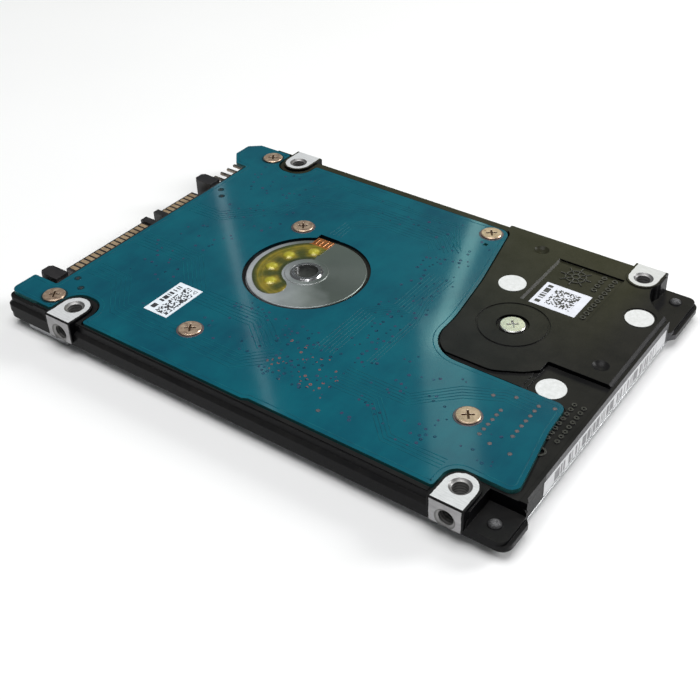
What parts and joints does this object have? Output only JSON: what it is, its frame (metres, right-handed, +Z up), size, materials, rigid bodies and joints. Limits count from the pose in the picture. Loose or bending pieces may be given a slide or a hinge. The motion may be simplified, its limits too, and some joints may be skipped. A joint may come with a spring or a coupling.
{
  "type": "hard disk drive",
  "caption": "Slim laptop hard disk drive with its circuit board up: black cast base, bare screw bosses, serial plug, motor disc, and a platter and head arm that turn inside.",
  "frame": {"origin": "middle of the cover's outer face, which the drive rests on", "axes": "+X from the connector end to the far end, +Y across, +Z up through the circuit board"},
  "size_m": [0.1002, 0.0698, 0.007],
  "materials": {
    "black_casting": "black electrocoated die casting, bare machined screw bosses",
    "stamped_cover": "brushed",
    "gasket_rubber": "matt",
    "steel_screw": "zinc plated",
    "gold_screw": "passivated gold",
    "label_silver": "printed silver film",
    "label_white": "printed paper film",
    "foil": "satin foil",
    "circuit_board": "solder mask",
    "chip_plastic": "moulded",
    "passive_ceramic": "ceramic",
    "thermal_foam": "soft pad",
    "connector_plastic": "moulded",
    "gold_contact": "gold plated",
    "motor_aluminium": "turned",
    "polyimide_flex": "translucent film",
    "lamination_steel": "laminated",
    "copper_wire": "enamelled",
    "bearing_steel": "ground",
    "magnet": "nickel plated",
    "disc_mirror": "mirror",
    "arm_aluminium": "machined",
    "spring_steel": "rolled",
    "slider_ceramic": "ceramic",
    "white_plastic": "moulded",
    "yoke_steel": "nickel plated",
    "filter_cloth": "non-woven"
  },
  "bodies": {
    "chassis": {"base_casting": "black_casting", "top_cover": "stamped_cover", "cover_gasket": "gasket_rubber", "cover_screws": "steel_screw", "cover_label": "label_silver", "circuit_board": "circuit_board", "controller_chip": "chip_plastic", "memory_chip": "chip_plastic", "motor_driver_chip": "chip_plastic", "flash_chip": "chip_plastic", "board_passives": "passive_ceramic", "thermal_pad": "thermal_foam", "board_screws": "gold_screw", "connector_housing": "connector_plastic", "power_contacts": "gold_contact", "signal_contacts": "gold_contact", "jumper_pins": "gold_contact", "board_label": "label_white", "base_label": "label_white", "end_label": "label_silver", "foil_seals": "foil", "pivot_screw": "steel_screw", "motor_plate": "motor_aluminium", "motor_flex": "polyimide_flex", "stator_core": "lamination_steel", "stator_coils": "copper_wire", "bearing_sleeve": "bearing_steel", "thrust_plate": "bearing_steel", "pivot_shaft": "bearing_steel", "flex_loop": "polyimide_flex", "flex_bracket": "spring_steel", "flex_connector": "connector_plastic", "parking_ramp": "white_plastic", "ramp_screw": "steel_screw", "latch_pin": "bearing_steel", "lower_yoke": "yoke_steel", "upper_yoke": "yoke_steel", "coil_magnets": "magnet", "yoke_posts": "yoke_steel", "crash_stops": "gasket_rubber", "recirculation_filter": "filter_cloth", "breather_filter": "filter_cloth", "desiccant_pack": "filter_cloth"},
    "rotor": {"spindle_shaft": "bearing_steel", "spindle_hub": "motor_aluminium", "rotor_magnet": "magnet", "platter": "disc_mirror", "disc_clamp": "spring_steel", "clamp_screw": "steel_screw"},
    "head_stack": {"pivot_bearings": "bearing_steel", "pivot_sleeve": "bearing_steel", "head_arms": "arm_aluminium", "voice_coil": "copper_wire", "coil_frame": "chip_plastic", "load_beams": "spring_steel", "head_sliders": "slider_ceramic", "arm_flex": "polyimide_flex", "preamp_chip": "chip_plastic"},
    "latch": {"actuator_latch": "white_plastic"}
  },
  "joints": [
    {"name": "spindle_spin", "type": "hinge", "parent": "chassis", "child": "rotor", "pos_m": [-0.0102, 0, 0.0022], "axis": [0, 0, 1], "continuous": true},
    {"name": "actuator_swing", "type": "hinge", "parent": "chassis", "child": "head_stack", "pos_m": [0.028, 0.0064, 0.003], "axis": [0, 0, -1], "range_deg": [0, 34]},
    {"name": "latch_swing", "type": "hinge", "parent": "chassis", "child": "latch", "pos_m": [0.0202, 0.0214, 0.003], "axis": [0, 0, -1], "range_deg": [0, 12]}
  ]
}
